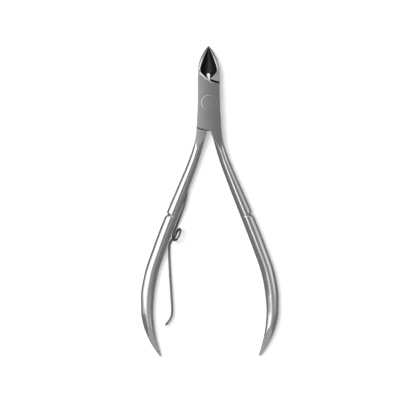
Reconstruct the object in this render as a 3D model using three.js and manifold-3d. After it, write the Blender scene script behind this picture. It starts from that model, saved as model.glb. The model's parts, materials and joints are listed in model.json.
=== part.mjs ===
// Cuticle nipper: two crossed steel halves on a flush rivet, with a wire spring in one handle.
// Millimetres. It lies flat on z = 0, the tip points along +Y and the rivet's axis is the Z axis.
// "Front" is the side that faces up (+Z), with the hollow of the jaws. The front half has the
// left jaw (-X), the upper lap plate and the right handle; the rear half has the other three.

import * as THREE from "three";
import { mergeVertices } from "three/addons/utils/BufferGeometryUtils.js";
import Module from "manifold-3d";

const wasm = await Module();
wasm.setup();

// ---------------------------------------------------------------- driving dimensions

const jointThickness = 5.4;
const lapGap = 0.1;             // between the two lap plates
const bladeGap = 0.06;          // between the two cutting edges when the jaws are closed
const tipY = 20.8;
const beyond = 3;               // how far a cutting tool reaches past the steel it cuts

// Points on an arc about the pivot, below it, from one x to another.
function arcBelow(radius, fromX, toX, steps) {
  return Array.from({ length: steps + 1 }, (_, k) => {
    const x = fromX + ((toX - fromX) * k) / steps;
    return [x, -Math.sqrt(radius * radius - x * x)];
  });
}

// The lap plate of the front half, drawn clockwise from its left side.
const plateEndRadius = 10.0;    // the plate's lower end is an arc about the pivot
const plateEndSteps = 8;
const plateOutline = [
  [-4.3, -6.6], [-4.0, -0.5], [-3.9, 5.5], [-3.9, 9.6], [-1.6, 9.6],
  [-0.97, 8.75], [0.3, 7.9], [3.75, 6.8], [4.0, 6.0], [4.03, -0.5], [4.35, -6.6],
  [4.6, -10.9], [1.1, -10.9], [0.75, -10.35], [0.2, -9.9],
  ...arcBelow(plateEndRadius, -0.4, -4.45, plateEndSteps),
];
// The lap seat that the other half's plate turns in: an arc about the pivot below, and
// above it a sloping shoulder, given as its y on the axis and its slope.
const seatRadius = 10.15;
const seatReach = 6;
const seatSteps = 16;
const upperShoulder = [8.62, -0.32];

// Jaw stations from root to tip: y, half width, height of the rim, height of the keel,
// and how much of the keel side is rounded away (0 none, 1 all of it).
const jawStations = [
  [6.6, 3.9, 5.4, 0.0, 0.08],
  [10.8, 3.88, 5.4, 0.0, 0.12],
  [12.0, 3.84, 5.2, 0.05, 0.3],
  [13.4, 3.62, 4.8, 0.08, 0.45],
  [15.0, 3.27, 4.25, 0.1, 0.55],
  [16.6, 2.75, 3.55, 0.12, 0.6],
  [18.1, 2.0, 2.75, 0.15, 0.65],
  [19.3, 1.25, 2.05, 0.18, 0.65],
  [20.2, 0.6, 1.45, 0.21, 0.6],
  [tipY, 0.12, 0.95, 0.25, 0.5],
];
const rimInset = 0.1;           // the rim stands this share of the half width inside the wall
const fullInsetRounding = 0.5;  // and all of that from this much rounding
const keelCornerRise = 0.6;     // how high a fully rounded keel corner climbs, as a share
const jawCornerSteps = 4;
const jawSteps = 22;

// The hollow between the jaws: a trough with a spade-shaped mouth, its point towards the tip.
const hollowMouth = [
  [0.0, 8.25], [0.75, 8.9], [2.1, 10.2], [2.78, 11.1], [2.9, 12.0], [2.6, 13.5],
  [2.08, 15.1], [1.48, 16.8], [0.84, 18.5], [0.28, 19.9], [0.0, 20.35],
];
const hollowFloor = 0.45;       // height of the cutting edges above the keel
const hollowFloorFade = [0.3, 2];  // that height is 0 where the rim is this high, and full this much above
const hollowDeepestY = 13.0;
const hollowEndSlope = 0.45;    // share of its length that the trough loses towards its floor
const hollowTipSlope = 0.1;     // the same at its pointed end
const hollowNarrowing = 0.97;   // share of an ellipse's depth that its walls follow
const hollowSteps = 8;

// The see-through relief between the roots of the jaws.
const reliefHalfWidth = 0.72;
const reliefWaist = 0.45;
const reliefTopY = 11.05;
const reliefWideY = 10.1;
const reliefWaistY = 8.9;
const reliefFootHalfWidth = 0.97;
const reliefFootY = 8.75;

// Handle stations for the right handle: y, inner x, outer x, bottom z, top z, squareness.
const handleStations = [
  [-8.9, 0.35, 4.45, 0.0, 5.4, 14],
  [-10.6, 0.83, 4.58, 0.0, 5.4, 12],
  [-13.2, 1.6, 4.95, 0.05, 5.36, 6],
  [-16.6, 2.5, 5.9, 0.2, 5.15, 3],
  [-21.4, 3.97, 7.67, 0.38, 4.9, 2.4],
  [-30.0, 7.1, 11.35, 0.45, 4.72, 2.3],
  [-40.8, 11.24, 16.0, 0.4, 4.65, 2.3],
  [-51.6, 15.32, 20.2, 0.25, 4.6, 2.3],
  [-62.4, 18.9, 23.72, 0.08, 4.45, 2.3],
  [-70.0, 20.15, 24.82, 0.0, 4.3, 2.3],
  [-75.4, 20.47, 24.75, 0.0, 4.05, 2.3],
  [-80.0, 20.15, 23.95, 0.08, 3.55, 2.4],
  [-84.5, 19.45, 22.25, 0.2, 2.85, 2.6],
  [-88.5, 18.4, 20.05, 0.35, 2.15, 2.8],
  [-91.2, 17.6, 18.1, 0.6, 1.5, 2.4],
];
const handleSides = 20;
const handleSteps = 36;

// The decorative V groove around the outer half of each handle.
const grooveY = -40.6;
const grooveCentre = new THREE.Vector3(13.55, grooveY, 2.5);
const grooveTiltDegrees = 21;   // how far the handle leans from the Y axis there
const grooveOffset = 0.5;       // the groove's ring is moved this far towards the inner side
const grooveRadius = 2.03;
const grooveFlare = 1.4;        // half width over depth

// Rivet: a countersunk head in the front plate, a shank and a countersunk tail.
const headRadius = 2.8;
const headEdge = 0.45;
const headDepth = 1.5;
const shankRadius = 1.75;
const tailRadius = 2.4;
const tailEdge = 0.4;
const tailDepth = 1.1;
const rivetClearance = 0.06;
const roundSides = 48;          // of the rivet, its hole and the groove

// Wire spring.
const wireRadius = 0.4;
const wireSides = 8;
const holeClearance = 0.12;
const nodeGap = 0.1;            // between the leg, the coil and the arm
const coilRadius = 2.2;
const coilTurns = 1;
const coilAdvance = 1.0;        // how far the coil moves away from the handle over its turns
const coilTiltDegrees = 24;     // how far its top leans away from the handle
const coilLeadIn = 0.6;         // straight wire before the first turn
const coilCentre = new THREE.Vector3(-11.7, -47.3, 2.75);
const along = new THREE.Vector3(-0.36, -0.933, 0).normalize();   // down the left handle
const across = new THREE.Vector3(-along.y, along.x, 0);           // from it towards the gap
const coilTilt = THREE.MathUtils.degToRad(coilTiltDegrees);
const coilUp = new THREE.Vector3(0, 0, Math.cos(coilTilt)).addScaledVector(across, Math.sin(coilTilt));
const coilAxis = new THREE.Vector3().crossVectors(along, coilUp).negate();
const legHoleStart = new THREE.Vector3(-7.67, -28.4, 2.6);
const legHoleMouth = new THREE.Vector3(-8.3, -33.4, 2.6);
const legHoleReach = [-0.05, 1.4];  // where its drill starts and ends, as shares from start to mouth
const legRunIn = 0.6;           // the leg is in line with the coil from here
const legSteps = 24;
const coilSteps = 40;
const armSteps = 40;
const legRoute = [[-9.25, -37.2, 2.55], [-10.65, -41.0, 2.1], [-11.9, -44.2, 1.25]];
const armRoute = [
  [-12.75, -48.5, 0.5], [-13.55, -49.3, 0.55], [-14.2, -50.2, 0.65], [-14.55, -51.6, 0.8],
  [-14.6, -53.5, 0.95], [-14.4, -60.0, 1.4], [-13.95, -67.5, 1.8], [-13.6, -74.3, 2.1],
  [-13.75, -76.3, 2.15], [-14.4, -77.9, 2.2],
];
const armEnd = [-15.75, -79.7, 2.25];

// ---------------------------------------------------------------- materials

const satinSteel = () =>
  new THREE.MeshStandardMaterial({ color: 0xa9abad, roughness: 0.38, metalness: 1 });
const rivetSteel = () =>
  new THREE.MeshStandardMaterial({ color: 0x9da1a1, roughness: 0.42, metalness: 1 });
const springSteel = () =>
  new THREE.MeshStandardMaterial({ color: 0x8d8f92, roughness: 0.3, metalness: 1 });

// ---------------------------------------------------------------- helpers

const mergeDistance = 1e-4;     // vertices closer than this are one

// A closed three.js geometry as a solid that can be joined and cut.
function solidFrom(geometry) {
  const bare = geometry.clone();
  bare.deleteAttribute("normal");
  bare.deleteAttribute("uv");
  const merged = mergeVertices(bare, mergeDistance);
  return new wasm.Manifold(
    new wasm.Mesh({
      numProp: 3,
      vertProperties: new Float32Array(merged.attributes.position.array),
      triVerts: new Uint32Array(merged.index.array),
    }),
  );
}

function geometryFrom(solid) {
  const mesh = solid.getMesh();
  const geometry = new THREE.BufferGeometry();
  geometry.setAttribute("position", new THREE.BufferAttribute(mesh.vertProperties, 3));
  geometry.setIndex(new THREE.BufferAttribute(mesh.triVerts, 1));
  geometry.computeVertexNormals();
  return geometry;
}

// The same shape on the other side of the YZ plane, with its faces still looking outwards.
function mirrored(geometry) {
  const copy = geometry.index ? geometry.toNonIndexed() : geometry.clone();
  const position = copy.attributes.position;
  for (let first = 0; first < position.count; first += 3) {
    const corner = [0, 1, 2].map((k) => new THREE.Vector3().fromBufferAttribute(position, first + k));
    [corner[0], corner[2], corner[1]].forEach((p, k) => position.setXYZ(first + k, -p.x, p.y, p.z));
  }
  return copy;
}

function prism(outline, bottom, top) {
  const shape = new THREE.Shape(outline.map(([x, y]) => new THREE.Vector2(x, y)));
  const geometry = new THREE.ExtrudeGeometry(shape, { depth: top - bottom, bevelEnabled: false });
  geometry.translate(0, 0, bottom);
  return geometry;
}

// Reads a table of stations as smooth functions of the distance down the table, which
// turn only where the stations do.
function smoothTable(stations) {
  const last = stations.length - 1;
  const column = (k) => stations.map((row) => row[k]);
  return (t) => {
    const place = Math.min(Math.max(t, 0), 1) * last;
    const i = Math.min(Math.floor(place), last - 1);
    const f = place - i;
    return stations[0].map((_, k) => {
      const c = column(k);
      const slopeAt = (j) => {
        if (j === 0) return c[1] - c[0];
        if (j === last) return c[last] - c[last - 1];
        const [before, after] = [c[j] - c[j - 1], c[j + 1] - c[j]];
        return before * after > 0 ? (2 * before * after) / (before + after) : 0;
      };
      const f2 = f * f;
      const f3 = f2 * f;
      return (
        (2 * f3 - 3 * f2 + 1) * c[i] + (f3 - 2 * f2 + f) * slopeAt(i) +
        (3 * f2 - 2 * f3) * c[i + 1] + (f3 - f2) * slopeAt(i + 1)
      );
    });
  };
}

// Reads one column of the jaw's stations at a given y by straight interpolation.
function jawColumnAt(y, k) {
  let i = 0;
  while (i < jawStations.length - 2 && y > jawStations[i + 1][0]) i += 1;
  const [low, high] = [jawStations[i], jawStations[i + 1]];
  const f = Math.min(Math.max((y - low[0]) / (high[0] - low[0]), 0), 1);
  return low[k] + f * (high[k] - low[k]);
}

// ---------------------------------------------------------------- handles

// The right handle: a cylinder whose rings are moved onto the stations' superellipses.
function handleGeometry() {
  const onAxis = 1e-6;
  const stationAt = smoothTable(handleStations);
  const geometry = new THREE.CylinderGeometry(1, 1, 1, handleSides, handleSteps);
  const position = geometry.attributes.position;
  for (let i = 0; i < position.count; i += 1) {
    const [y, inner, outer, bottom, top, squareness] = stationAt(0.5 - position.getY(i));
    const power = 2 / squareness;
    const round = (value) => (Math.abs(value) < onAxis ? 0 : Math.sign(value) * Math.abs(value) ** power);
    const x = (inner + outer) / 2 + (round(position.getX(i)) * (outer - inner)) / 2;
    const z = (bottom + top) / 2 + (round(position.getZ(i)) * (top - bottom)) / 2;
    position.setXYZ(i, x, y, z);
  }
  return geometry;
}

// The ring that cuts the V groove, deepest on the outer side and gone on the inner one.
function grooveGeometry() {
  const mouth = grooveRadius + beyond;
  const halfWidth = beyond * grooveFlare;
  const profile = [
    [grooveRadius, 0], [mouth, -halfWidth], [mouth, halfWidth], [grooveRadius, 0],
  ].map(([x, y]) => new THREE.Vector2(x, y));
  const geometry = new THREE.LatheGeometry(profile, roundSides);
  const tilt = THREE.MathUtils.degToRad(grooveTiltDegrees);
  geometry.rotateZ(tilt);
  const inwards = new THREE.Vector3(-Math.cos(tilt), -Math.sin(tilt), 0);
  const centre = grooveCentre.clone().addScaledVector(inwards, grooveOffset);
  geometry.translate(centre.x, centre.y, centre.z);
  return geometry;
}

// ---------------------------------------------------------------- jaws

// The right jaw without its hollow: an extruded section, fitted to each station.
function jawGeometry() {
  // In units of the keel corner's radius: the corner is 1 high and 1 wide, the wall ends at
  // wallEnd and the rim is at rimLevel.
  const [wallEnd, rimLevel] = [3, 4];
  const corner = Array.from({ length: jawCornerSteps + 1 }, (_, k) => ((k / jawCornerSteps) * Math.PI) / 2);
  const section = new THREE.Shape([
    new THREE.Vector2(0, 0),
    ...corner.map((a) => new THREE.Vector2(1 + Math.sin(a), 1 - Math.cos(a))),
    new THREE.Vector2(2, wallEnd),
    new THREE.Vector2(2 - rimInset, rimLevel),
    new THREE.Vector2(0, rimLevel),
  ]);
  const geometry = new THREE.ExtrudeGeometry(section, { depth: 1, steps: jawSteps, bevelEnabled: false });
  const stationAt = smoothTable(jawStations);
  const position = geometry.attributes.position;
  for (let i = 0; i < position.count; i += 1) {
    const [y, halfWidth, rim, keel, rounding] = stationAt(1 - position.getZ(i));
    const u = position.getX(i);
    const v = position.getY(i);
    // 0..1 of the section is the flat under the keel, 1..2 its rounded corner.
    const share = u <= 1 ? u * (1 - rounding) : 1 - rounding + (u - 1) * rounding;
    const cornerTop = rounding * keelCornerRise;
    const wallShare = (v - 1) / (rimLevel - 1);
    const rise = v <= 1 ? v * cornerTop : cornerTop + wallShare * (1 - cornerTop);
    const lean = v >= rimLevel ? 1 - rimInset * Math.min(rounding / fullInsetRounding, 1) : 1;
    const edge = bladeGap / 2;
    position.setXYZ(i, edge + Math.min(share, 1) * lean * (halfWidth - edge), y, keel + rise * (rim - keel));
  }
  return geometry;
}

// The trough that hollows both jaws: the mouth's outline, drawn in towards its floor.
function hollowGeometry() {
  const outline = [
    ...hollowMouth,
    ...hollowMouth.slice(1, -1).reverse().map(([x, y]) => [-x, y]),
  ].map(([x, y]) => new THREE.Vector2(x, y));
  const geometry = new THREE.ExtrudeGeometry(new THREE.Shape(outline), {
    depth: 1,
    steps: hollowSteps,
    bevelEnabled: false,
  });
  const position = geometry.attributes.position;
  for (let i = 0; i < position.count; i += 1) {
    const depth = 1 - position.getZ(i);
    // The first step stands above the rim, and the others go down from it.
    const level = (depth * hollowSteps - 1) / (hollowSteps - 1);
    const x = position.getX(i);
    const y = position.getY(i);
    const sunk = Math.max(level, 0);
    const narrow = Math.sqrt(1 - (hollowNarrowing * sunk) ** 2);
    const shorter = y < hollowDeepestY ? 1 - hollowEndSlope * sunk ** 2 : 1 - hollowTipSlope * sunk;
    const drawnY = hollowDeepestY + (y - hollowDeepestY) * shorter;
    const rim = jawColumnAt(drawnY, 2);
    const [fadeRim, fadeLength] = hollowFloorFade;
    const floor = jawColumnAt(drawnY, 3) + hollowFloor * Math.min(1, (rim - fadeRim) / fadeLength);
    const z = level < 0 ? rim + beyond : rim - sunk * (rim - floor);
    position.setXYZ(i, x * narrow, drawnY, z);
  }
  return geometry;
}

function reliefOutline() {
  const arcSteps = 6;
  const height = reliefTopY - reliefWideY;
  const arc = Array.from({ length: arcSteps + 1 }, (_, k) => {
    const a = (k / arcSteps) * Math.PI;
    return [reliefHalfWidth * Math.cos(a), reliefWideY + height * Math.sin(a)];
  });
  return [
    [reliefFootHalfWidth, reliefFootY - beyond], [reliefFootHalfWidth, reliefFootY],
    [reliefWaist, reliefWaistY], ...arc, [-reliefWaist, reliefWaistY],
    [-reliefFootHalfWidth, reliefFootY], [-reliefFootHalfWidth, reliefFootY - beyond],
  ];
}

// ---------------------------------------------------------------- the two halves

function seatOutline() {
  const [onAxis, slope] = upperShoulder;
  return [
    ...arcBelow(seatRadius, -seatReach, seatReach, seatSteps),
    [seatReach, onAxis + slope * seatReach], [-seatReach, onAxis - slope * seatReach],
  ];
}

// side is the sign of x of this half's jaw; its handle is on the other side.
function halfSolid(side, plateBottom, plateTop, seatBottom, seatTop) {
  // The jaw and the seat are drawn for the half with the right jaw, and the plate, the handle
  // and its groove for the half with the left one.
  const forRightJaw = (geometry) => solidFrom(side > 0 ? geometry : mirrored(geometry));
  const forLeftJaw = (geometry) => solidFrom(side > 0 ? mirrored(geometry) : geometry);
  const relief = solidFrom(prism(reliefOutline(), -beyond, jointThickness + beyond));
  const jaw = forRightJaw(jawGeometry()).subtract(relief);
  const seat = forRightJaw(prism(seatOutline(), seatBottom, seatTop));
  const handle = forLeftJaw(handleGeometry()).subtract(forLeftJaw(grooveGeometry()));
  const plate = forLeftJaw(prism(plateOutline, plateBottom, plateTop));
  return jaw.add(handle).subtract(seat).add(plate).subtract(solidFrom(hollowGeometry()));
}

// The hole for the rivet, or the rivet itself when the clearance is zero.
function rivetGeometry(clearance, past) {
  const top = jointThickness;
  const profile = [
    [0, -past], [tailRadius + clearance, -past], [tailRadius + clearance, tailEdge],
    [shankRadius + clearance, tailDepth + clearance], [shankRadius + clearance, top - headDepth - clearance],
    [headRadius + clearance, top - headEdge], [headRadius + clearance, top + past], [0, top + past],
  ].map(([x, y]) => new THREE.Vector2(x, y));
  const geometry = new THREE.LatheGeometry(profile, roundSides);
  geometry.rotateX(Math.PI / 2);
  return geometry;
}

// ---------------------------------------------------------------- wire spring

// A straight lead-in along the handle, then turns that start and end under the coil.
class Coil extends THREE.Curve {
  getPoint(t, target = new THREE.Vector3()) {
    const turnsLength = coilTurns * 2 * Math.PI * coilRadius;
    const distance = t * (coilLeadIn + turnsLength);
    const share = Math.max(distance - coilLeadIn, 0) / turnsLength;
    const turn = share * coilTurns * 2 * Math.PI;
    const before = Math.max(coilLeadIn - distance, 0);
    return target
      .copy(coilCentre)
      .addScaledVector(coilAxis, coilAdvance * (share - 0.5))
      .addScaledVector(along, coilRadius * Math.sin(turn) - before)
      .addScaledVector(coilUp, -coilRadius * Math.cos(turn));
  }
}

function wireAlong(path, radius, sides, steps) {
  const section = new THREE.Shape();
  for (let k = 0; k < sides; k += 1) {
    const angle = ((k + 0.5) / sides) * 2 * Math.PI;
    const point = [radius * Math.cos(angle), radius * Math.sin(angle)];
    if (k === 0) section.moveTo(...point);
    else section.lineTo(...point);
  }
  return new THREE.ExtrudeGeometry(section, { steps, extrudePath: path, bevelEnabled: false });
}

const coilPath = new Coil();
const coilEntry = coilPath.getPoint(0);
const coilExit = coilPath.getPoint(1);
const legPath = new THREE.CatmullRomCurve3([
  legHoleStart,
  legHoleMouth,
  ...legRoute.map((p) => new THREE.Vector3(...p)),
  coilEntry.clone().addScaledVector(along, -legRunIn),
  coilEntry.clone().addScaledVector(along, -nodeGap),
]);
const armPath = new THREE.CatmullRomCurve3([
  coilExit.clone().addScaledVector(along, nodeGap),
  ...armRoute.map((p) => new THREE.Vector3(...p)),
  new THREE.Vector3(...armEnd),
]);
const legHole = new THREE.LineCurve3(
  ...legHoleReach.map((share) => legHoleStart.clone().lerp(legHoleMouth, share)),
);

// ---------------------------------------------------------------- assembly

const lowerPlateTop = (jointThickness - lapGap) / 2;
const upperPlateBottom = (jointThickness + lapGap) / 2;
const rivetHole = solidFrom(rivetGeometry(rivetClearance, beyond));

const rearHalf = halfSolid(1, 0, lowerPlateTop, lowerPlateTop, jointThickness + beyond)
  .subtract(rivetHole)
  .subtract(solidFrom(wireAlong(legHole, wireRadius + holeClearance, wireSides, 1)));
const frontHalf = halfSolid(-1, upperPlateBottom, jointThickness, -beyond, upperPlateBottom)
  .subtract(rivetHole);

const group = new THREE.Group();

function addPiece(name, geometry, material) {
  const mesh = new THREE.Mesh(geometry, material);
  mesh.name = name;
  group.add(mesh);
}

addPiece("rear_half", geometryFrom(rearHalf), satinSteel());
addPiece("front_half", geometryFrom(frontHalf), satinSteel());
addPiece("pivot_rivet", rivetGeometry(0, 0), rivetSteel());
addPiece("spring_leg", wireAlong(legPath, wireRadius, wireSides, legSteps), springSteel());
addPiece("spring_coil", wireAlong(coilPath, wireRadius, wireSides, coilSteps), springSteel());
addPiece("spring_arm", wireAlong(armPath, wireRadius, wireSides, armSteps), springSteel());

export default group;
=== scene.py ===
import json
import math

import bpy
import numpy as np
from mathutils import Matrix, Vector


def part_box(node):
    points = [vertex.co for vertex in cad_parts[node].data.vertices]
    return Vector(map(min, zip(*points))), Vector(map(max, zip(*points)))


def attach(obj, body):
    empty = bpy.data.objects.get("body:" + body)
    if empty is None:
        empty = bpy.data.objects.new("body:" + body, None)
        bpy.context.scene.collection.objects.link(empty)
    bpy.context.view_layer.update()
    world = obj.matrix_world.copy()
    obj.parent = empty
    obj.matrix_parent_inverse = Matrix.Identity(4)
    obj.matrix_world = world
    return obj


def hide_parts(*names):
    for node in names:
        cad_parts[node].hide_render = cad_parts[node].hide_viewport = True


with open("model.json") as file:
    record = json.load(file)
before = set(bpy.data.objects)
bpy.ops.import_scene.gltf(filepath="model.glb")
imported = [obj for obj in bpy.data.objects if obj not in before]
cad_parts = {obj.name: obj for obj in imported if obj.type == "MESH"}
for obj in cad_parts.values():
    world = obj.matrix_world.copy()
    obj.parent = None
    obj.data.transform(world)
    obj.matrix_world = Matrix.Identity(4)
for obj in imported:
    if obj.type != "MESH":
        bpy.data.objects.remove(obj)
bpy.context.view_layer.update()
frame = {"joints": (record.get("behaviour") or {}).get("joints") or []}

# A cuticle nipper that lies closed on its flat face: two crossed steel halves, a flush rivet
# and a wire spring. Each half is meshed from one distance function, so that its plate, jaw
# and handle flow into each other. All sizes are millimetres in the CAD model's frame (+Y to
# the jaws, +Z up), and add_mesh turns them into metres.

MM = 0.001
SWING = next(j for j in frame["joints"] if j["name"] == "spring_swing")

# ---------------------------------------------------------------- sizes of the halves
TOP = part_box("front_half")[1][2] / MM    # the joint's upper face; the lower one is z = 0
LAP_BOTTOM = 2.65                # upper face of the rear plate
LAP_TOP = 2.75                   # lower face of the front plate
CROWN_RADIUS = 62.0              # the ground faces are very slightly crowned across
CROWN_REACH = 4.6
BLADE_GAP = 0.004                # from the middle plane to each jaw

PLATE_Y = [-10.9, -8.5, -6.6, -0.5, 5.5, 9.6]
PLATE_HALF_WIDTH = [4.5, 4.4, 4.3, 4.0, 3.9, 3.9]
# The plate's ends, as y against x, with the jaw side at positive x.
UPPER_END_X = [-3.75, -0.3, 0.97, 1.6, 4.5]
UPPER_END_Y = [6.85, 7.9, 8.75, 9.6, 9.6]
LOWER_END_X = [-1.1, -0.7, -0.2, 0.1, 0.5]
LOWER_END_Y = [-10.9, -10.3, -9.9, -9.93, -10.3]
PLATE_END_RADIUS = 10.0          # the lower end is an arc about the pivot
# An end that slants is nearer than its distance along y, by this share.
PLATE_END_SLANT = 0.92
SEAT_SLANT = 0.95
FAR_INSIDE = -5.0                # the distance given where an end doesn't count
# The seat that the other half's plate turns in: an arc below, and above it a sloping line,
# given as its y on the middle line and its slope.
SEAT_RADIUS = 10.12
SEAT_UPPER = (8.62, -0.32)

# Jaw sections: y, half width, rim height, keel height, squareness.
JAW = np.array([
    [6.6, 3.9, 5.4, 0.0, 14], [10.8, 3.88, 5.4, 0.0, 12], [12.0, 3.84, 5.2, 0.05, 6],
    [13.4, 3.62, 4.8, 0.08, 3.2], [15.0, 3.27, 4.25, 0.1, 2.7], [16.6, 2.75, 3.55, 0.12, 2.5],
    [18.1, 2.0, 2.75, 0.15, 2.4], [19.3, 1.25, 2.05, 0.18, 2.4], [20.2, 0.6, 1.45, 0.21, 2.4],
    [20.8, 0.12, 0.95, 0.25, 2.4],
])
JAW_CENTRE = 0.55                # height of a section's widest point, as a share
JAW_CROWN = 0.8                  # how far the section would reach above it, uncut
RIM_ROUNDING_Y = [10.8, 13.0]    # rounding of the rim's outer edge, along y
RIM_ROUNDING = [0.14, 0.5]
RIGHT_FLAT_Y = 7.2               # the right jaw's flat falls away from here
RIGHT_FLAT_SLOPE = 0.13

# Hollow behind the cutting edges: half width of its mouth, and its floor, along y.
MOUTH_Y = [8.25, 8.9, 10.2, 11.1, 12.0, 13.5, 15.1, 16.8, 18.5, 19.9, 20.35]
MOUTH_HALF_WIDTH = [0.0, 0.75, 2.1, 2.78, 2.9, 2.6, 2.08, 1.48, 0.84, 0.28, 0.0]
FLOOR_Y = [8.25, 15.0, 16.6, 18.1, 19.3, 20.35]
FLOOR_HEIGHT = [0.5, 0.6, 0.75, 0.85, 0.95, 1.1]
HOLLOW_FULL_Y = 12.0             # below this the floor rises in a quarter ellipse
HOLLOW_END = 3.75
HOLLOW_SQUARENESS = 2.2
LEAST_HALF_WIDTH = 0.02          # these two keep the hollow's sizes above 0 at its ends
LEAST_DEPTH = 0.1
LIP_Y = [8.6, 10.6, 12.2]        # rounding of the hollow's edge, along y
RIGHT_LIP = [0.06, 0.06, 0.45]
LEFT_LIP = [0.15, 0.15, 0.45]
CHAMFER_WIDTH = 0.75             # polished chamfer along the root of the left jaw's hollow
CHAMFER_SLOPE = 0.4
CHAMFER_FADE_Y = [11.4, 12.8]
MOUTH_SLANT = 0.8                # the mouth's edge is nearer than along x, by this share
CORNER_BUMP = 0.18               # how far the plate's lower corner stands out
CORNER_Y = -9.1
CORNER_LENGTH = 0.5
BEVEL_Y = [-9.0, -7.6, 6.3, 6.9] # edge rounding of the plate, wide at its two shoulders
BEVEL = [0.9, 0.12, 0.12, 0.6]

# Relief hole between the jaws at the root of the hollow. It leans to the left jaw.
RELIEF_Y = [7.8, 8.3, 8.9, 9.5, 10.2, 10.7, 11.05]
RELIEF_HALF_WIDTH = [0.28, 0.38, 0.4, 0.47, 0.58, 0.5, 0.1]
RELIEF_LEAN = (0.16, -0.12)      # x at its foot, and slope

# Handle sections, on positive x: y, inner x, outer x, bottom, top, squareness. The root's
# top stands above the joint's face, which cuts it off flat.
HANDLE = np.array([
    [-8.9, 0.35, 4.45, 0.0, 6.9, 12], [-10.6, 0.83, 4.58, 0.0, 6.6, 9],
    [-13.2, 1.6, 4.95, 0.02, 5.75, 4.4], [-15.0, 2.05, 5.4, 0.1, 5.38, 3.2],
    [-16.6, 2.5, 5.9, 0.2, 5.2, 2.8], [-21.4, 3.97, 7.67, 0.38, 4.9, 2.35],
    [-30.0, 7.1, 11.35, 0.45, 4.72, 2.3], [-40.8, 11.24, 16.0, 0.4, 4.65, 2.3],
    [-51.6, 15.32, 20.2, 0.25, 4.6, 2.3], [-62.4, 18.9, 23.72, 0.08, 4.45, 2.3],
    [-70.0, 20.15, 24.81, 0.0, 4.3, 2.3], [-75.4, 20.47, 24.75, 0.0, 4.15, 2.3],
    [-80.0, 20.15, 23.95, 0.05, 3.95, 2.35], [-84.5, 19.45, 22.25, 0.2, 3.55, 2.5],
    [-88.5, 18.4, 20.05, 0.35, 2.85, 2.6], [-91.2, 17.6, 18.1, 0.6, 1.9, 2.4],
])
FACET_Y = -80.6                  # the ground facet on a handle's end starts here
FACET_HEIGHT = 3.86
FACET_SLOPE = 0.2
FACET_SIDE_SLOPE = 0.06
FACET_MIDDLE_X = 20.0

# V groove round the outer side of each handle.
GROOVE_CENTRE = (13.55, -40.6, 2.5)
GROOVE_TILT = math.radians(21)
GROOVE_OFFSET = 0.5
GROOVE_RADIUS = 2.03
GROOVE_FLARE = 1.4

# Rounding where two surfaces meet.
PLATE_CORNER = 0.4
BROKEN_EDGE = 0.12               # of the plate, the seat and the relief hole
JOIN_FILLET = 0.1                # where the jaw and the handle leave the plate
HANDLE_FACE_EDGE = 0.08
HANDLE_FACET_EDGE = 0.06
HANDLE_END_EDGE = 0.25
GROOVE_EDGE = 0.1
RIVET_HOLE_EDGE = 0.025
LEG_HOLE_EDGE = 0.1

# Where the finishes and the painted shade change. A pair gives where each is absent and where it is
# full.
FACE_NEARNESS = (0.045, 0.015)   # distance from a ground face
HOLLOW_NEARNESS = (0.192, 0.072) # distance from the hollow's surface
SEAT_NEARNESS = (0.15, 0.05)
HOLLOW_DEPTH = (0.0, 0.4)        # depth below the rim
SEAT_DEPTH = (0.0, 0.5)          # depth below the upper face
WALL_DEPTH = (0.35, 0.55)
WALL_Y = (6.3, 6.6)              # the plate's end wall, left of WALL_X
WALL_X = -0.2
INSIDE_Z = (0.5, 1.0)            # the painted shade inside the lap fades towards the lower face
SATIN_Y = (-18.5, -18.0)
FACET_Y_FINISH = (-78.0, -78.5)

# ---------------------------------------------------------------- sizes of the small parts
HEAD_RADIUS = 2.8                # head and tail are short cylinders, and cones below them
HEAD_EDGE = 0.45
HEAD_DEPTH = 1.5
SHANK_RADIUS = 1.75
TAIL_RADIUS = 2.4
TAIL_EDGE = 0.4
TAIL_DEPTH = 1.1
RIVET_CLEARANCE = 0.004
RIVET_BLEND = 0.35               # the satin finish runs unbroken this far round the head
RIVET_SINK = 0.003               # the ground head ends just under the plate's face
RIVET_EDGE = 0.015               # its edges are broken by this much
RIVET_RINGS = [0.0, 0.4, 0.8, 1.2, 1.6, 2.0] # across its ends, so that they follow the crown
RIVET_OUTER_RING = 2.4           # one more on the wider head
RIVET_SIDES = 96

WIRE_RADIUS = 0.4
LEG_HOLE_CLEARANCE = 0.05
LEG_HOLE_REACH = 1.2             # the hole ends at this share of the leg's straight run
COIL_RADIUS = 2.2
COIL_TURNS = 1
COIL_ADVANCE = 1.0
COIL_TILT = math.radians(24)
COIL_LEAD_IN = 0.6
COIL_CENTRE = np.array([-11.7, -47.3, 2.75])
ALONG = np.array([-0.36, -0.933, 0.0]) / math.hypot(0.36, 0.933)
ACROSS = np.array([-ALONG[1], ALONG[0], 0.0])
UP = np.array([0.0, 0.0, 1.0])
COIL_UP = UP * math.cos(COIL_TILT) + ACROSS * math.sin(COIL_TILT)
COIL_AXIS = ACROSS * math.cos(COIL_TILT) - UP * math.sin(COIL_TILT)
LEG_ROUTE = np.array([
    [-7.67, -28.4, 2.6], [-8.3, -33.4, 2.6], [-9.25, -37.2, 2.55], [-10.65, -41.0, 2.1],
    [-11.9, -44.2, 1.25],
])
ARM_ROUTE = np.array([
    [-12.75, -48.5, 0.5], [-13.55, -49.3, 0.55], [-14.2, -50.2, 0.65], [-14.55, -51.6, 0.8],
    [-14.6, -53.5, 0.95], [-14.4, -60.0, 1.4], [-13.95, -67.5, 1.8], [-13.6, -74.3, 2.1],
    [-13.75, -76.3, 2.15], [-14.4, -77.9, 2.2], [-15.75, -79.7, 2.25],
])


# ---------------------------------------------------------------- distance functions

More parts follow.
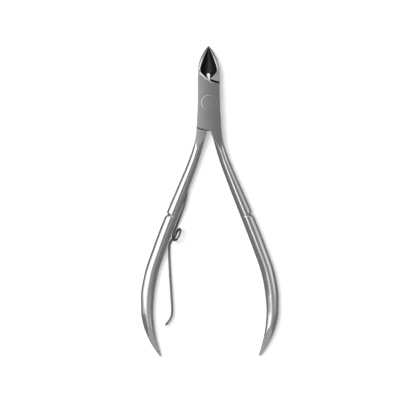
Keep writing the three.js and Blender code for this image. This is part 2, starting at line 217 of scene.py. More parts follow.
def smooth_curve(at, knots, values):
    """Monotone cubic through values at increasing knots, which never overshoots them."""
    knots, values = np.asarray(knots, float), np.asarray(values, float)
    step = np.diff(knots)
    slope = np.diff(values) / step
    before, after = slope[:-1], slope[1:]
    level = before * after <= 0
    total = np.where(level, 1, before + after)
    middle = np.where(level, 0, 2 * before * after / total)
    tangent = np.concatenate([slope[:1], middle, slope[-1:]])
    i = np.clip(np.searchsorted(knots, at) - 1, 0, len(step) - 1)
    t = np.clip((at - knots[i]) / step[i], 0, 1)
    rise = t * t * (3 - 2 * t)
    leave = t * (1 - t) ** 2 * step[i] * tangent[i]
    arrive = -t * t * (1 - t) * step[i] * tangent[i + 1]
    return values[i] + (values[i + 1] - values[i]) * rise + leave + arrive


def ramp(value, absent, full):
    """0 where value is at absent or beyond, 1 where it is at full or beyond."""
    return np.clip((value - absent) / (full - absent), 0, 1)


def union(a, b, radius):
    """Smaller of two distances, with a fillet of about that radius where they meet."""
    near = np.maximum(radius - np.abs(a - b), 0) / radius
    return np.minimum(a, b) - near * near * radius / 4


def intersect(a, b, radius):
    return -union(-a, -b, radius)


def cut(a, b, radius):
    """What is left of a outside b."""
    return intersect(a, -b, radius)


def oval(across, height, squareness):
    """Superellipse: 1 on its edge, for coordinates given as shares of its half sizes."""
    total = np.abs(across) ** squareness + np.abs(height) ** squareness
    return total ** (1 / squareness)


def crown(x):
    """How far a ground face falls away from its middle line."""
    return np.minimum(np.abs(x), CROWN_REACH) ** 2 / (2 * CROWN_RADIUS)


class Half:
    """One half of the nipper. side is +1 where its jaw is on the right, -1 on the left.

    Its methods take x with the jaw side positive and the handle on the negative side."""

    def __init__(self, side, plate, seat):
        self.side = side
        self.plate_bottom, self.plate_top = plate
        self.seat_bottom, self.seat_top = seat
        self.tilted = side > 0

    def top(self, x, y):
        """The ground upper face."""
        height = TOP - crown(x)
        if self.tilted:
            fall = RIGHT_FLAT_SLOPE * np.maximum(y - RIGHT_FLAT_Y, 0)
            height = height - np.where(x > 0, fall, 0)
        return height

    def plate(self, x, y, z):
        corner = CORNER_BUMP * np.exp(-((y - CORNER_Y) / CORNER_LENGTH) ** 2) * (x > 0)
        sides = np.abs(x) - smooth_curve(y, PLATE_Y, PLATE_HALF_WIDTH) - corner
        upper = (y - np.interp(x, UPPER_END_X, UPPER_END_Y)) * PLATE_END_SLANT
        crotch = (np.interp(x, LOWER_END_X, LOWER_END_Y) - y) * PLATE_END_SLANT
        arc = np.where(y < 0, np.hypot(x, y) - PLATE_END_RADIUS, FAR_INSIDE)
        ends = np.maximum(upper, np.maximum(arc, crotch))
        outline = intersect(sides, ends, PLATE_CORNER)
        slab = intersect(outline, z - self.plate_top, np.interp(y, BEVEL_Y, BEVEL))
        slab = intersect(slab, self.plate_bottom - z, BROKEN_EDGE)
        return cut(slab, self.hollow(x, y, z), self.lip(y))

    def lip(self, y):
        """Rounding of the hollow's edge."""
        return np.interp(y, LIP_Y, RIGHT_LIP if self.tilted else LEFT_LIP)

    def chamfer(self, x, y):
        """How far the left jaw's face falls towards the root of the hollow."""
        if self.tilted:
            return 0.0
        aside = (np.abs(x) - smooth_curve(y, MOUTH_Y, MOUTH_HALF_WIDTH)) * MOUTH_SLANT
        share = np.interp(y, CHAMFER_FADE_Y, [1, 0]) * (y > MOUTH_Y[0])
        return share * CHAMFER_SLOPE * np.maximum(CHAMFER_WIDTH - aside, 0)

    def jaw(self, x, y, z):
        """The jaw beyond the plate, cut off flat at the rim and at the middle plane."""
        width, rim, keel, squareness = (smooth_curve(y, JAW[:, 0], c) for c in JAW[:, 1:].T)
        height = rim - keel
        centre = keel + JAW_CENTRE * height
        reach = np.where(z > centre, JAW_CROWN, JAW_CENTRE) * height
        shell = oval(x / width, (z - centre) / reach, squareness) - 1
        shell = shell * np.minimum(width, reach)
        rounding = np.interp(y, RIM_ROUNDING_Y, RIM_ROUNDING)
        shell = intersect(shell, z - np.minimum(rim, self.top(x, y)), rounding)
        shell = cut(shell, self.hollow(x, y, z), self.lip(y))
        ends = np.maximum(JAW[0, 0] - y, y - JAW[-1, 0])
        return np.maximum(np.maximum(shell, BLADE_GAP - x), ends)

    def hollow(self, x, y, z):
        """The milled hollow behind the cutting edges."""
        rim = np.minimum(smooth_curve(y, JAW[:, 0], JAW[:, 2]), self.top(x, y))
        mouth = np.maximum(smooth_curve(y, MOUTH_Y, MOUTH_HALF_WIDTH), LEAST_HALF_WIDTH)
        depth = np.maximum(rim - np.interp(y, FLOOR_Y, FLOOR_HEIGHT), LEAST_DEPTH)
        rise = np.clip((HOLLOW_FULL_Y - y) / HOLLOW_END, 0, 0.9999)   # at 1 depth would be 0
        depth = depth * np.sqrt(1 - rise * rise)
        below = np.maximum(rim - z, 0)
        shape = oval(x / mouth, below / depth, HOLLOW_SQUARENESS) - 1
        shape = shape * np.minimum(mouth, depth)
        return np.maximum(shape, np.maximum(MOUTH_Y[0] - y, y - MOUTH_Y[-1]))

    def relief(self, x, y):
        """The see-through hole between the jaws."""
        width = smooth_curve(y, RELIEF_Y, RELIEF_HALF_WIDTH)
        middle = self.side * (RELIEF_LEAN[0] + RELIEF_LEAN[1] * (y - RELIEF_Y[0]))
        length = np.maximum(y - RELIEF_Y[-1], RELIEF_Y[0] - y)
        return np.maximum(np.abs(x - middle) - width, length)

    def seat(self, x, y, z):
        """The space that the other half's plate turns in."""
        high = (y - SEAT_UPPER[0] - SEAT_UPPER[1] * x) * SEAT_SLANT
        length = np.maximum(np.where(y < 0, np.hypot(x, y) - SEAT_RADIUS, FAR_INSIDE), high)
        return np.maximum(length, np.maximum(z - self.seat_top, self.seat_bottom - z))

    def handle(self, x, y, z):
        stations = HANDLE[::-1]
        inner, outer, bottom, top, squareness = (
            smooth_curve(y, stations[:, 0], c) for c in stations[:, 1:].T)
        half_width, half_height = (outer - inner) / 2, (top - bottom) / 2
        across = (-x - (inner + outer) / 2) / half_width
        height = (z - (bottom + top) / 2) / half_height
        body = (oval(across, height, squareness) - 1) * np.minimum(half_width, half_height)
        body = intersect(body, np.maximum(z - self.top(x, y), crown(x) - z), HANDLE_FACE_EDGE)
        body = intersect(body, self.facet(x, y, z), HANDLE_FACET_EDGE)
        ends = np.maximum(y - HANDLE[0, 0], HANDLE[-1, 0] - y)
        body = intersect(body, ends, HANDLE_END_EDGE)
        return cut(body, self.groove(x, y, z), GROOVE_EDGE)

    def facet(self, x, y, z):
        """The sloping ground facet on top of the handle's end."""
        outwards = FACET_SIDE_SLOPE * (-x - FACET_MIDDLE_X)
        return z - FACET_HEIGHT + FACET_SLOPE * (FACET_Y - y) - outwards

    def groove(self, x, y, z):
        """Everything outside a ring that flares to both sides of the groove's plane."""
        cosine, sine = math.cos(GROOVE_TILT), math.sin(GROOVE_TILT)
        across, down, height = -x - GROOVE_CENTRE[0], y - GROOVE_CENTRE[1], z - GROOVE_CENTRE[2]
        outwards = across * cosine + down * sine + GROOVE_OFFSET
        lengthways = down * cosine - across * sine
        ring = np.sqrt(outwards ** 2 + height ** 2)
        return np.abs(lengthways) / GROOVE_FLARE - (ring - GROOVE_RADIUS)

    def rivet_hole(self, x, y, z):
        radius = np.hypot(x, y)
        from_top = TOP - z
        head = HEAD_RADIUS - np.clip(from_top - HEAD_EDGE, 0, HEAD_DEPTH - HEAD_EDGE)
        tail = TAIL_RADIUS - np.clip(z - TAIL_EDGE, 0, TAIL_DEPTH - TAIL_EDGE)
        wall = np.where(from_top < HEAD_DEPTH, head, np.where(z < TAIL_DEPTH, tail, SHANK_RADIUS))
        return radius - np.maximum(wall, SHANK_RADIUS) - RIVET_CLEARANCE

    def leg_hole(self, x, y, z):
        """The blind hole that the spring's leg is fixed in: only the rear half has it."""
        start, mouth = (p * (self.side, 1, 1) for p in LEG_ROUTE[:2])
        axis = mouth - start
        share = ((x - start[0]) * axis[0] + (y - start[1]) * axis[1]) / (axis @ axis)
        share = np.clip(share, 0, LEG_HOLE_REACH)
        aside = [x - start[0] - share * axis[0], y - start[1] - share * axis[1], z - start[2]]
        return np.sqrt(sum(a * a for a in aside)) - WIRE_RADIUS - LEG_HOLE_CLEARANCE

    def distance(self, x, y, z):
        """The whole half, for x as it is in the model: below 0 inside the steel."""
        x = x * self.side
        ends = np.minimum(self.jaw(x, y, z), self.handle(x, y, z))
        ends = cut(ends, self.seat(x, y, z), BROKEN_EDGE)
        body = union(ends, self.plate(x, y, z), JOIN_FILLET)
        body = cut(body, self.relief(x, y), BROKEN_EDGE)
        body = np.maximum(body, np.maximum(z - self.top(x, y) + self.chamfer(x, y), crown(x) - z))
        body = cut(body, self.rivet_hole(x, y, z), RIVET_HOLE_EDGE)
        if self.side > 0:
            body = cut(body, self.leg_hole(x, y, z), LEG_HOLE_EDGE)
        return body

    def flat_share(self, x, y, z):
        """1 on the satin ground faces, 0 on the polished surfaces."""
        x = x * self.side
        off = np.minimum(np.abs(z - self.top(x, y)), np.abs(z - crown(x)))
        ring = (np.abs(np.hypot(x, y) - HEAD_RADIUS) < RIVET_BLEND) & (TOP - z < RIVET_BLEND)
        return np.maximum(ramp(off, *FACE_NEARNESS), ring) * ramp(y, *SATIN_Y)

    def facet_share(self, x, y, z):
        """1 on the ground facet at the handle's end."""
        off = np.abs(self.facet(x * self.side, y, z))
        return ramp(off, *FACE_NEARNESS) * ramp(y, *FACET_Y_FINISH)

    def painted_shade_share(self, x, y, z):
        """1 in the milled hollow and on the unpolished faces inside the joint, which are rougher and
        carry a near-black painted shade.
        """
        x = x * self.side
        below_rim = smooth_curve(y, JAW[:, 0], JAW[:, 2]) - z
        hollow = ramp(np.abs(self.hollow(x, y, z)), *HOLLOW_NEARNESS) * ramp(below_rim, *HOLLOW_DEPTH)
        seat = ramp(np.abs(self.seat(x, y, z)), *SEAT_NEARNESS) * ramp(TOP - z, *SEAT_DEPTH) * (y > 0)
        wall = ramp(y, *WALL_Y) * ramp(TOP - z, *WALL_DEPTH) * (x < WALL_X)
        return np.maximum(hollow, np.maximum(wall, seat) * ramp(z, *INSIDE_Z))


# ---------------------------------------------------------------- meshes

CELL_CORNERS = [(x, y, z) for z in (0, 1) for y in (0, 1) for x in (0, 1)]
CELL_EDGES = [(a, b) for a in range(8) for b in range(a + 1, 8) if bin(a ^ b).count("1") == 1]
SLOPE_STEP = 0.004
SNAP_ROUNDS = 4                  # Newton steps that bring each vertex onto the surface
SNAP_SLACK = 0.02                # how far they may take it out of its cell
LEAST_SLOPE = 0.2
# Grid lines as (from, step) stops: finest over the rivet, coarsest along the bows.
JOINT_GRID = [(-5.2, 0.13), (-2.95, 0.07), (2.95, 0.13), (5.2, None)]
HANDLE_GRID = [(-25.2, 0.17), (-5.2, None)]
LENGTH_GRID = [(-91.6, 0.2), (-77.4, 0.4), (-43.0, 0.15), (-38.4, 0.35), (-18.0, 0.13),
               (-2.95, 0.07), (2.95, 0.13), (21.0, None)]
HEIGHT_GRID = [(-0.11, 0.13), (TOP + 0.15, None)]


def grid_lines(stops):
    """Places along one axis; the last stop only ends the range."""
    lines = [np.arange(a, b, step) for (a, step), (b, _) in zip(stops, stops[1:])]
    return np.concatenate(lines + [[stops[-1][0]]])


def gradient(distance, points):
    slopes = []
    for axis in range(3):
        ahead, behind = points.copy(), points.copy()
        ahead[:, axis] += SLOPE_STEP
        behind[:, axis] -= SLOPE_STEP
        slopes.append((distance(*ahead.T) - distance(*behind.T)) / (2 * SLOPE_STEP))
    return np.stack(slopes, axis=1)


def surface(distance, lines):
    """Vertices, quads and normals of the closed surface where distance is 0.

    One vertex goes into each grid cell that the surface crosses (surface nets), and is then
    moved onto the surface itself."""
    value = distance(lines[0][:, None, None], lines[1][None, :, None], lines[2][None, None, :])
    inside = value < 0
    cells = tuple(n - 1 for n in value.shape)

    def corner(array, offset):
        return array[tuple(slice(o, o + n) for o, n in zip(offset, cells))]

    count = sum(corner(inside, c).astype(np.int8) for c in CELL_CORNERS)
    crossed = (count > 0) & (count < 8)
    number = np.full(cells, -1)
    number[crossed] = np.arange(crossed.sum())
    at = np.nonzero(crossed)
    values = np.stack([corner(value, c)[crossed] for c in CELL_CORNERS])
    places = np.stack([
        np.stack([lines[axis][at[axis] + c[axis]] for axis in range(3)], axis=1)
        for c in CELL_CORNERS])
    total = np.zeros((len(at[0]), 3))
    weight = np.zeros(len(at[0]))
    for a, b in CELL_EDGES:
        crossing = (values[a] < 0) != (values[b] < 0)
        share = np.where(crossing, values[a] / np.where(crossing, values[a] - values[b], 1), 0)
        point = places[a] + (places[b] - places[a]) * share[:, None]
        total += point * crossing[:, None]
        weight += crossing
    points = total / weight[:, None]
    low, high = places[0], places[7]
    for _ in range(SNAP_ROUNDS):
        slope = gradient(distance, points)
        size = np.maximum((slope ** 2).sum(axis=1), LEAST_SLOPE ** 2)
        points = points - slope * (distance(*points.T) / size)[:, None]
        points = np.clip(points, low - SNAP_SLACK, high + SNAP_SLACK)
    normals = gradient(distance, points)
    normals /= np.maximum(np.linalg.norm(normals, axis=1), 1e-9)[:, None]

    quads = []
    for axis in range(3):
        first = [slice(1, -1)] * 3
        second = [slice(1, -1)] * 3
        first[axis], second[axis] = slice(0, -1), slice(1, None)
        start, end = inside[tuple(first)], inside[tuple(second)]
        u, v = [(1, 2), (2, 0), (0, 1)][axis]
        ring = []
        for du, dv in ((0, 0), (1, 0), (1, 1), (0, 1)):
            pick = [slice(None)] * 3
            pick[u], pick[v] = (slice(d, number.shape[k] - 1 + d) for d, k in ((du, u), (dv, v)))
            ring.append(number[tuple(pick)])
        ring = np.stack(ring, axis=-1)
        quads.append(ring[start & ~end])
        quads.append(ring[~start & end][:, ::-1])
    return points, np.concatenate(quads), normals


def add_mesh(name, points, faces, normals=None, attributes=None):
    """A smooth mesh object from points in millimetres."""
    mesh = bpy.data.meshes.new(name)
    mesh.from_pydata(np.asarray(points) * MM, [], [list(map(int, f)) for f in faces])
    mesh.validate()
    mesh.shade_smooth()
    for label, values in (attributes or {}).items():
        layer = mesh.attributes.new(label, "FLOAT", "POINT")
        layer.data.foreach_set("value", np.asarray(values, np.float32))
    if normals is not None:
        mesh.normals_split_custom_set_from_vertices(normals.tolist())
    item = bpy.data.objects.new(name, mesh)
    bpy.context.scene.collection.objects.link(item)
    return item


def add_half(name, half):
    across = np.concatenate([grid_lines(HANDLE_GRID)[:-1], grid_lines(JOINT_GRID)])
    if half.side < 0:
        across = -across[::-1]
    grid = (across, grid_lines(LENGTH_GRID), grid_lines(HEIGHT_GRID))
    points, quads, normals = surface(half.distance, grid)
    shares = {
        "satin": half.flat_share(*points.T),
        # The second share marks painted shade: the milled hollow and the faces inside the joint.
        "painted_shade": half.painted_shade_share(*points.T),
        "facet": half.facet_share(*points.T),
    }
    return add_mesh(name, points, quads, normals, shares)


def smooth_path(points, spacing):
    """A centripetal Catmull-Rom curve through points, cut into steps of about spacing."""
    points = np.asarray(points, float)
    padded = np.vstack([2 * points[0] - points[1], points, 2 * points[-1] - points[-2]])
    path = []
    for a, b, c, d in zip(padded, padded[1:], padded[2:], padded[3:]):
        gaps = [max(np.linalg.norm(q - p), 1e-6) ** 0.5 for p, q in ((a, b), (b, c), (c, d))]
        leave = ((b - a) / gaps[0] - (c - a) / (gaps[0] + gaps[1]) + (c - b) / gaps[1]) * gaps[1]
        arrive = ((c - b) / gaps[1] - (d - b) / (gaps[1] + gaps[2]) + (d - c) / gaps[2]) * gaps[1]
        t = np.linspace(0, 1, max(2, round(np.linalg.norm(c - b) / spacing)), endpoint=False)[:, None]
        rise = t * t * (3 - 2 * t)
        path.append(b + (c - b) * rise + leave * t * (1 - t) ** 2 - arrive * t * t * (1 - t))
    return np.vstack(path + [points[-1:]])


def tube(path, radius, sides=20, cap_rings=6):
    """Points and quads of a round wire along path, closed by a half ball at each end."""
    step = np.gradient(path, axis=0)
    forward = step / np.linalg.norm(step, axis=1)[:, None]
    side = np.cross(forward[0], UP)
    frames = []
    for f in forward:
        side = side - f * (side @ f)
        side /= np.linalg.norm(side)
        frames.append((side, np.cross(f, side)))
    angles = np.linspace(0, 2 * math.pi, sides, endpoint=False)
    rings = []

    def ring(centre, axes, size):
        circle = np.outer(np.cos(angles), axes[0]) + np.outer(np.sin(angles), axes[1])
        rings.append(centre + circle * size)

    lean = np.linspace(0, math.pi / 2, cap_rings + 1)
    for a in lean[::-1][:-1]:
        ring(path[0] - forward[0] * radius * math.sin(a), frames[0], radius * math.cos(a) + 1e-4)
    for centre, axes in zip(path, frames):
        ring(centre, axes, radius)
    for a in lean[1:]:
        ring(path[-1] + forward[-1] * radius * math.sin(a), frames[-1], radius * math.cos(a) + 1e-4)
    points = np.vstack(rings)
    faces = []
    for r in range(len(rings) - 1):
        for s in range(sides):
            t = (s + 1) % sides
            faces.append((r * sides + s, r * sides + t, (r + 1) * sides + t, (r + 1) * sides + s))
    faces.append(tuple(range(sides))[::-1])
    faces.append(tuple(range(len(points) - sides, len(points))))
    return points, faces


def coil_path():
    """The coil's lead-in and turns, starting and ending under its middle."""
    share = np.linspace(0, 1, 40 * COIL_TURNS + 1)[:, None]
    angle = 2 * math.pi * COIL_TURNS * share
    turns = (COIL_CENTRE + COIL_AXIS * COIL_ADVANCE * (share - 0.5)
             + ALONG * COIL_RADIUS * np.sin(angle) - COIL_UP * COIL_RADIUS * np.cos(angle))
    return np.vstack([turns[:1] - ALONG * COIL_LEAD_IN, turns])


def add_wire(name, points, spacing=0.12):
    mesh_points, faces = tube(smooth_path(points, spacing), WIRE_RADIUS)
    return add_mesh(name, mesh_points, faces)


def add_rivet():
    """The rivet as a turned shape, its two ends ground level with the crowned faces."""
    edge, sides = RIVET_EDGE, RIVET_SIDES
    top, bottom = TOP - RIVET_SINK, RIVET_SINK
    profile = [(r, bottom) for r in RIVET_RINGS]
    profile += [(TAIL_RADIUS - edge, bottom), (TAIL_RADIUS - edge * 0.3, bottom + edge * 0.3)]
    profile += [(TAIL_RADIUS, bottom + edge), (TAIL_RADIUS, TAIL_EDGE)]
    profile += [(SHANK_RADIUS, TAIL_DEPTH), (SHANK_RADIUS, TOP - HEAD_DEPTH)]
    profile += [(HEAD_RADIUS, TOP - HEAD_EDGE), (HEAD_RADIUS, top - edge)]
    profile += [(HEAD_RADIUS - edge * 0.3, top - edge * 0.3), (HEAD_RADIUS - edge, top)]
    profile += [(r, top) for r in (RIVET_OUTER_RING, *RIVET_RINGS[::-1])]
    angles = np.linspace(0, 2 * math.pi, sides, endpoint=False)
    rings = [(r, z) for r, z in profile if r > 0]
    points = [(r * math.cos(a), r * math.sin(a), z) for r, z in rings for a in angles]
    points = np.array(points + [(0, 0, bottom), (0, 0, top)])
    at_top = points[:, 2] > TOP - HEAD_EDGE
    at_bottom = points[:, 2] < TAIL_EDGE
    points[:, 2] -= np.where(at_top, crown(points[:, 0]), 0)
    points[:, 2] += np.where(at_bottom, crown(points[:, 0]), 0)
    last = len(rings) - 1
    faces = []
    for s in range(sides):
        t = (s + 1) % sides
        faces += [(r * sides + s, r * sides + t, (r + 1) * sides + t, (r + 1) * sides + s)
                  for r in range(last)]
        faces += [(len(points) - 2, t, s), (len(points) - 1, last * sides + s, last * sides + t)]
    item = add_mesh("joint_rivet", points, faces)
    sharpen(item, 30)
    return item


def sharpen(item, degrees):
    """Edges steeper than that many degrees stay crisp."""
    mesh = item.data
    normals = {}
    for polygon in mesh.polygons:
        for key in polygon.edge_keys:
            normals.setdefault(key, []).append(polygon.normal.copy())
    steep = math.radians(degrees)
    for e in mesh.edges:
        pair = normals.get(e.key, [])
        e.use_edge_sharp = len(pair) == 2 and pair[0].angle(pair[1], 0) > steep


# ---------------------------------------------------------------- materials

POLISHED_TONES = ((0.74, 0.74, 0.735), (0.68, 0.685, 0.685))
GROUND_TONE = (0.36, 0.363, 0.363)
# Painted shade: the near-black colour of the milled hollow and of the faces inside the joint.
HOLLOW_SHADE_TONE = (0.025, 0.025, 0.0255)
RIVET_TONES = ((0.38, 0.383, 0.383), (0.35, 0.353, 0.355))
WIRE_TONES = ((0.25, 0.25, 0.25), (0.19, 0.19, 0.195))
WAVE_DEPTH = 0.02                # millimetres, of the slow waves in hand-polished steel
HALF_TEXTURE = 0.0016            # millimetres, of the brushing and the marks on the halves


class Shader:
    """A material's node tree, with short ways to add and join its nodes."""

    def __init__(self, name):
        self.material = bpy.data.materials.new(name)
        self.material.use_nodes = True
        self.tree = self.material.node_tree
        self.surface = self.tree.nodes["Principled BSDF"]

    def node(self, kind, links=None, **settings):
        item = self.tree.nodes.new(kind)
        for key, value in settings.items():
            setattr(item, key, value)
        for socket, value in (links or {}).items():
            self.feed(item.inputs[socket], value)
        return item

    def feed(self, socket, value):
        if isinstance(value, bpy.types.NodeSocket):
            self.tree.links.new(value, socket)
        else:
            socket.default_value = value

    def math(self, operation, *values):
        item = self.node("ShaderNodeMath", operation=operation)
        for socket, value in zip(item.inputs, values):
            self.feed(socket, value)
        return item.outputs[0]

    def ramp(self, value, low, high):
        """value, moved from 0...1 to low...high."""
        links = {"Value": value, "To Min": low, "To Max": high}
        return self.node("ShaderNodeMapRange", links).outputs["Result"]

    def place(self, scale):
        """Object coordinates in millimetres, stretched by scale."""
        where = self.node("ShaderNodeTexCoord").outputs["Object"]
        per_mm = tuple(s / MM for s in scale)
        return self.node("ShaderNodeMapping", {"Vector": where, "Scale": per_mm}).outputs["Vector"]

    def noise(self, scale, detail=3.0, roughness=0.5):
        links = {"Vector": self.place(scale), "Scale": 1.0, "Detail": detail, "Roughness": roughness}
        return self.node("ShaderNodeTexNoise", links).outputs["Fac"]

    def share(self, name):
        return self.node("ShaderNodeAttribute", attribute_name=name).outputs["Fac"]

    def mix(self, share, a, b):
        change = self.math("SUBTRACT", b, a)
        return self.math("ADD", a, self.math("MULTIPLY", share, change))

    def tint(self, share, a, b):
        """Colour a, moved to b by share."""
        item = self.node("ShaderNodeMix", {"Factor": share}, data_type="RGBA")
        for name, colour in (("A", a), ("B", b)):
            fixed = isinstance(colour, tuple)
            self.feed(item.inputs[name], (*colour, 1) if fixed else colour)
        return item.outputs["Result"]

    def bump(self, height, depth, below=None):
        """The normal of that texture, depth being in millimetres, on top of another one."""
        links = {"Height": height, "Distance": depth * MM, "Strength": 1.0}
        if below is not None:
            links["Normal"] = below
        return self.node("ShaderNodeBump", links).outputs["Normal"]


def steel(name, tones, roughness, scratch, texture):
    """Steel with a cloudy tone and polish, fine lengthwise marks and a fine grain.

    scratch is how far the marks change the roughness, and texture their depth in millimetres."""
    s = Shader(name)
    s.surface.inputs["Metallic"].default_value = 1.0
    clouds = s.noise((0.35, 0.2, 0.35), 4)
    marks = s.noise((14, 0.5, 14), 3)
    grain = s.noise((9, 9, 9), 2)
    s.feed(s.surface.inputs["Base Color"], s.tint(clouds, *tones))
    rough = s.math("ADD", s.ramp(clouds, roughness * 0.8, roughness * 1.2),
                   s.ramp(marks, -scratch, scratch))
    s.feed(s.surface.inputs["Roughness"], rough)
    wavy = s.bump(s.noise((0.25, 0.12, 0.25), 2), WAVE_DEPTH)
    s.feed(s.surface.inputs["Normal"], s.bump(s.math("ADD", marks, grain), texture, below=wavy))
    return s.material


def half_steel():
    """The halves: polished, with satin ground faces, and a near-black painted shade in the milled
    hollow and on the faces inside the joint.
    """
    s = Shader("nipper_steel")
    # The share for painted shade covers the hollow and the faces inside the joint; there the steel
    # turns near black, rougher and less metallic.
    satin, painted_shade, facet = (s.share(n) for n in ("satin", "painted_shade", "facet"))
    s.feed(s.surface.inputs["Metallic"], s.ramp(painted_shade, 1.0, 0.4))
    s.surface.inputs["Specular IOR Level"].default_value = 0.2
    clouds = s.noise((0.3, 0.18, 0.3), 4)
    brushing = s.noise((0.6, 16, 3), 3)
    marks = s.noise((12, 0.4, 12), 3)
    grain = s.noise((7, 7, 7), 3)
    polished = s.ramp(clouds, 0.12, 0.17)
    ground_face = s.math("ADD", s.ramp(clouds, 0.28, 0.32), s.ramp(brushing, -0.04, 0.04))
    rough = s.mix(satin, polished, ground_face)
    rough = s.mix(facet, rough, s.ramp(marks, 0.22, 0.34))
    rough = s.mix(painted_shade, rough, s.ramp(grain, 0.3, 0.5))
    s.feed(s.surface.inputs["Roughness"], rough)
    colour = s.tint(satin, s.tint(clouds, *POLISHED_TONES), GROUND_TONE)
    s.feed(s.surface.inputs["Base Color"], s.tint(painted_shade, colour, HOLLOW_SHADE_TONE))
    wavy = s.bump(s.noise((0.22, 0.1, 0.22), 2), WAVE_DEPTH)
    texture = s.mix(satin, s.math("MULTIPLY", marks, 0.35), brushing)
    texture = s.mix(painted_shade, texture, s.math("MULTIPLY", grain, 5.0))
    s.feed(s.surface.inputs["Normal"], s.bump(texture, HALF_TEXTURE, below=wavy))
    return s.material


# ---------------------------------------------------------------- the pieces

rear = add_half("rear_steel_half", Half(1, (0.0, LAP_BOTTOM), (LAP_BOTTOM, TOP + 1)))
front = add_half("front_steel_half", Half(-1, (LAP_TOP, TOP), (-1, LAP_TOP)))
rivet = add_rivet()

fixed_wire = add_wire("spring_leg_and_coil", np.vstack([LEG_ROUTE, coil_path()]))
swing_point = np.array(SWING["pos_m"]) / MM
arm_wire = add_wire("spring_arm_wire", np.vstack([swing_point, ARM_ROUTE]))

half_material = half_steel()
for half in (rear, front):
    half.data.materials.append(half_material)
rivet_material = steel("rivet_steel", RIVET_TONES, roughness=0.3, scratch=0.03, texture=0.001)
rivet.data.materials.append(rivet_material)
wire_material = steel("drawn_wire", WIRE_TONES, roughness=0.36, scratch=0.05, texture=0.0003)
for wire in (fixed_wire, arm_wire):
    wire.data.materials.append(wire_material)

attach(rear, "rear")
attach(front, "front")
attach(rivet, "rear")
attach(fixed_wire, "rear")
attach(arm_wire, "spring")
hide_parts("rear_half")
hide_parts("front_half")
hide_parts("pivot_rivet")
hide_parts("spring_leg", "spring_coil")
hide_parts("spring_arm")

# ---------------------------------------------------------------- floor, light and camera

LOOK_AT = np.array([-0.47, -37.8, 3.0])       # what is in the middle of the picture
FLOOR_SIZE = 3000
LIGHT_DISTANCE = 1.0                          # metres, from LIT_POINT
LIT_POINT = Vector((0, -0.035, 0))


def add_floor():
    half_size = FLOOR_SIZE / 2
    corners = [(-half_size, -half_size, 0), (half_size, -half_size, 0),
               (half_size, half_size, 0), (-half_size, half_size, 0)]
    item = add_mesh("floor", corners, [(0, 1, 2, 3)])
    s = Shader("floor_paper")
    s.surface.inputs["Base Color"].default_value = (0.8, 0.8, 0.8, 1)
    s.surface.inputs["Roughness"].default_value = 0.9
    s.surface.inputs["Specular IOR Level"].default_value = 0.0
    s.surface.inputs["Emission Color"].default_value = (1, 1, 1, 1)
    s.surface.inputs["Emission Strength"].default_value = 0.35
    item.data.materials.append(s.material)
    item.visible_glossy = False


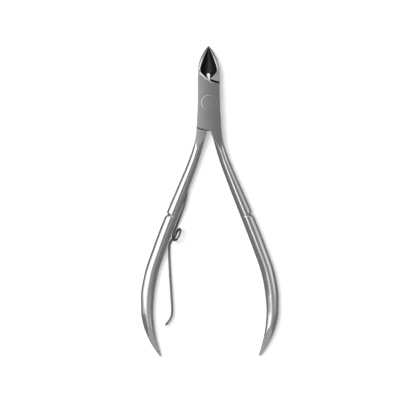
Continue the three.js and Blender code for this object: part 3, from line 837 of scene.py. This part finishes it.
def add_softbox(name, azimuth, elevation, width, height, brightness, edge, on_floor=False):
    """A soft light that faces the nipper from LIGHT_DISTANCE away.

    Angles are in degrees, width and height being the angles it fills; edge is the share over
    which it fades at each side. It lights the floor or shines in the steel, but not both."""
    a, e = math.radians(azimuth), math.radians(elevation)
    away = Vector((math.cos(a) * math.cos(e), math.sin(a) * math.cos(e), math.sin(e)))
    light = bpy.data.lights.new(name, "AREA")
    light.shape = "RECTANGLE"
    light.size = 2 * LIGHT_DISTANCE * math.tan(math.radians(width) / 2)
    light.size_y = 2 * LIGHT_DISTANCE * math.tan(math.radians(height) / 2)
    light.energy = brightness * math.pi * light.size * light.size_y
    light.use_nodes = True
    tree = light.node_tree
    where = tree.nodes.new("ShaderNodeNewGeometry").outputs["Parametric"]
    split = tree.nodes.new("ShaderNodeSeparateXYZ")
    tree.links.new(where, split.inputs[0])
    strength = None
    for along_axis in split.outputs[:2]:
        for start, end in ((0, edge), (1, 1 - edge)):
            fade = tree.nodes.new("ShaderNodeMapRange")
            fade.interpolation_type = "SMOOTHSTEP"
            fade.inputs["From Min"].default_value = start
            fade.inputs["From Max"].default_value = end
            tree.links.new(along_axis, fade.inputs["Value"])
            if strength is None:
                strength = fade.outputs["Result"]
                continue
            product = tree.nodes.new("ShaderNodeMath")
            product.operation = "MULTIPLY"
            tree.links.new(strength, product.inputs[0])
            tree.links.new(fade.outputs["Result"], product.inputs[1])
            strength = product.outputs[0]
    tree.links.new(strength, tree.nodes["Emission"].inputs["Strength"])
    item = bpy.data.objects.new(name, light)
    item.location = LIT_POINT + away * LIGHT_DISTANCE
    item.rotation_euler = away.to_track_quat("Z", "Y").to_euler()
    item.visible_glossy = not on_floor
    item.visible_diffuse = on_floor
    bpy.context.scene.collection.objects.link(item)


# Panels that shine in the steel: name, azimuth, elevation, width, height, brightness, edge.
PANELS = [
    ("left_low", 140, 20, 85, 34, 0.7, 0.4),
    ("left_high", 138, 52, 62, 54, 1.4, 0.2),
    ("west_high", 179, 59, 25, 54, 2.0, 0.3),
    ("west_low", 180, 22, 30, 44, 0.9, 0.4),
    ("north_overhead", 92, 69, 44, 18, 0.35, 0.3),
    ("north_east", 66, 48, 30, 34, 0.9, 0.3),
    ("east_panel", 2, 48, 34, 46, 0.6, 0.4),
    ("east_overhead", 335, 72, 26, 22, 0.2, 0.3),
    ("right_panel", 40, 35, 66, 62, 0.36, 0.15),
    ("south_overhead", 235, 77, 24, 20, 0.6, 0.3),
    ("south_panel", 270, 55, 50, 38, 0.22, 0.25),
]
add_floor()
for panel in PANELS:
    add_softbox(*panel)
add_softbox("floor_light", 150, 70, 34, 34, 12.0, edge=0.25, on_floor=True)

world = bpy.data.worlds.new("studio")
world.use_nodes = True
world.node_tree.nodes["Background"].inputs["Color"].default_value = (0.22, 0.22, 0.22, 1)
bpy.context.scene.world = world
bpy.context.scene.view_settings.view_transform = "Standard"

LENS = 135.0
SENSOR = 36.0
VIEW_WIDTH = 149.8
ROLL = math.radians(0.28)
camera_data = bpy.data.cameras.new("camera")
camera_data.lens = LENS
camera_data.sensor_width = SENSOR
camera = bpy.data.objects.new("camera", camera_data)
camera.location = Vector(LOOK_AT * MM) + Vector((0, 0, VIEW_WIDTH * LENS / SENSOR * MM))
camera.rotation_euler = (0, 0, -ROLL)
bpy.context.scene.collection.objects.link(camera)
bpy.context.scene.camera = camera
